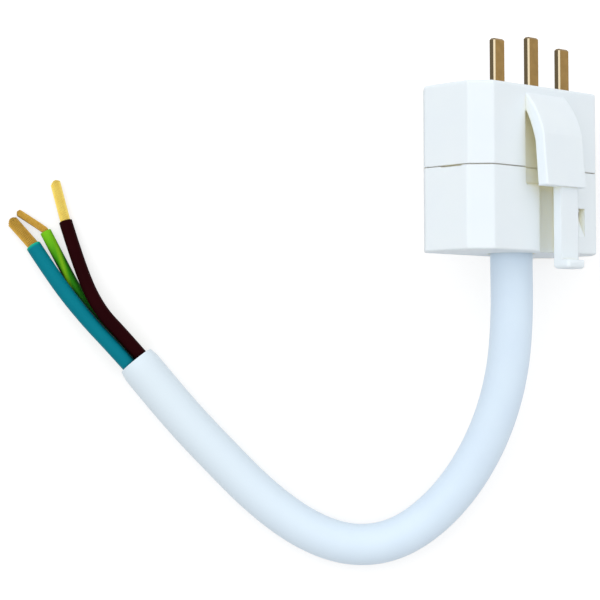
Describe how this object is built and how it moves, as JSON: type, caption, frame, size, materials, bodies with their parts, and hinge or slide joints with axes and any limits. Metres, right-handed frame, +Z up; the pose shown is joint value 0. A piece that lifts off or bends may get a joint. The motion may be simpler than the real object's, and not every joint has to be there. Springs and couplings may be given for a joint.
{
  "type": "ceiling light plug",
  "caption": "Earthed ceiling lamp plug with flat brass blades, a sprung side latch and a short white round cord that ends in stripped blue, green-yellow and brown cores.",
  "frame": {"origin": "on the surface the plug lies on, under the middle of the box round the plug without its cord", "axes": "+Z up from the surface, +Y along the blades out of the pin face, +X away from the side the cord lies on; the latch face looks up and to +X at 45 degrees"},
  "size_m": [0.1224, 0.1066, 0.0354],
  "materials": {
    "white_plastic": "satin moulded plastic",
    "blade_brass": "drawn and stamped, slightly dull",
    "terminal_brass": "machined",
    "zinc_steel": "zinc plated",
    "jacket_pvc": "extruded, satin",
    "blue_pvc": "extruded",
    "green_yellow_pvc": "extruded, two colours",
    "brown_pvc": "extruded",
    "copper_wire": "stranded bare copper"
  },
  "bodies": {
    "root": {"pin_housing": "white_plastic", "cord_housing": "white_plastic", "live_blade": "blade_brass", "earth_blade": "blade_brass", "neutral_blade": "blade_brass", "live_terminal": "terminal_brass", "earth_terminal": "terminal_brass", "neutral_terminal": "terminal_brass", "live_terminal_screw": "zinc_steel", "earth_terminal_screw": "zinc_steel", "neutral_terminal_screw": "zinc_steel", "live_inner_core": "brown_pvc", "earth_inner_core": "green_yellow_pvc", "neutral_inner_core": "blue_pvc", "live_inner_wire": "copper_wire", "earth_inner_wire": "copper_wire", "neutral_inner_wire": "copper_wire", "cord_clamp": "white_plastic", "clamp_screw_left": "zinc_steel", "clamp_screw_right": "zinc_steel", "cord_jacket": "jacket_pvc", "blue_core": "blue_pvc", "blue_wire": "copper_wire", "green_yellow_core": "green_yellow_pvc", "green_yellow_wire": "copper_wire", "brown_core": "brown_pvc", "brown_wire": "copper_wire"}
  },
  "joints": []
}
